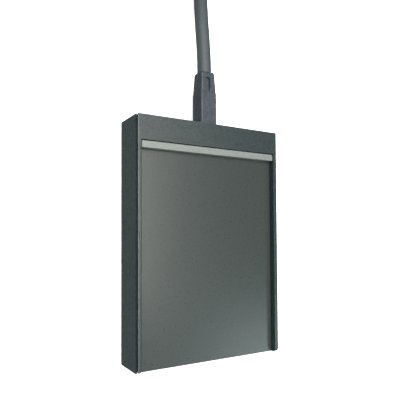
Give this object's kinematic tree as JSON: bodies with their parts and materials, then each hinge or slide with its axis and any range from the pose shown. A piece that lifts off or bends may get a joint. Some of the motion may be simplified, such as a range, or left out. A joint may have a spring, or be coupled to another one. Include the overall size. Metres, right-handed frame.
{
  "type": "rfid card reader",
  "caption": "Flat desktop RFID card reader with an open card tray in its face, a light strip across the tray's end and a coiled USB cable leaving through a square strain relief.",
  "frame": {"origin": "on the desk, under the middle of the case", "axes": "+Z out of the case's face, +Y along the case towards the end that the cable leaves, +X to the right as seen from above with the cable end away from the viewer"},
  "size_m": [0.097, 0.2058, 0.0183],
  "materials": {
    "case plastic": "fine-grained satin dark grey",
    "plate plastic": "smooth satin dark grey",
    "light guide": "frosted",
    "rubber": "matt",
    "cable jacket": "satin",
    "plated steel": "bright plated",
    "aluminium can": "satin",
    "copper wire": "enamelled",
    "gold contact": "plated",
    "board": "solder mask",
    "chip epoxy": "matt",
    "ferrite": "matt",
    "ceramic": "satin",
    "led package": "satin",
    "nylon": "satin",
    "label film": "satin, blank",
    "tie fabric": "woven hook and loop",
    "red insulation": "satin",
    "white insulation": "satin",
    "green insulation": "satin",
    "black insulation": "satin"
  },
  "bodies": {
    "root": {"antenna_coil": "copper wire", "antenna_lead_1": "copper wire", "antenna_lead_2": "copper wire", "board_header": "nylon", "board_screw_1": "plated steel", "board_screw_2": "plated steel", "buzzer": "chip epoxy", "cable_coil": "cable jacket", "cable_in_case": "cable jacket", "cable_lead": "cable jacket", "cable_tail": "cable jacket", "card_plate": "plate plastic", "case_screw_1": "plated steel", "case_screw_2": "plated steel", "case_screw_3": "plated steel", "case_screw_4": "plated steel", "chip_resistor_1": "chip epoxy", "chip_resistor_2": "chip epoxy", "chip_resistor_3": "chip epoxy", "chip_resistor_4": "chip epoxy", "coil_tie": "tie fabric", "controller_chip": "chip epoxy", "crystal": "plated steel", "filter_capacitor": "aluminium can", "header_plug": "nylon", "inductor": "ferrite", "light_guide": "light guide", "main_board": "board", "rating_label": "label film", "reader_chip": "chip epoxy", "rear_housing": "case plastic", "rubber_foot_1": "rubber", "rubber_foot_2": "rubber", "rubber_foot_3": "rubber", "rubber_foot_4": "rubber", "status_led_1": "led package", "status_led_2": "led package", "status_led_3": "led package", "status_led_4": "led package", "strain_relief": "rubber", "top_cover": "case plastic", "tuning_capacitor": "ceramic", "usb_contact_1": "gold contact", "usb_contact_2": "gold contact", "usb_contact_3": "gold contact", "usb_contact_4": "gold contact", "usb_plug_grip": "rubber", "usb_plug_shell": "plated steel", "usb_plug_tongue": "nylon", "voltage_regulator": "chip epoxy", "wire_black": "black insulation", "wire_green": "green insulation", "wire_red": "red insulation", "wire_white": "white insulation"}
  },
  "joints": []
}
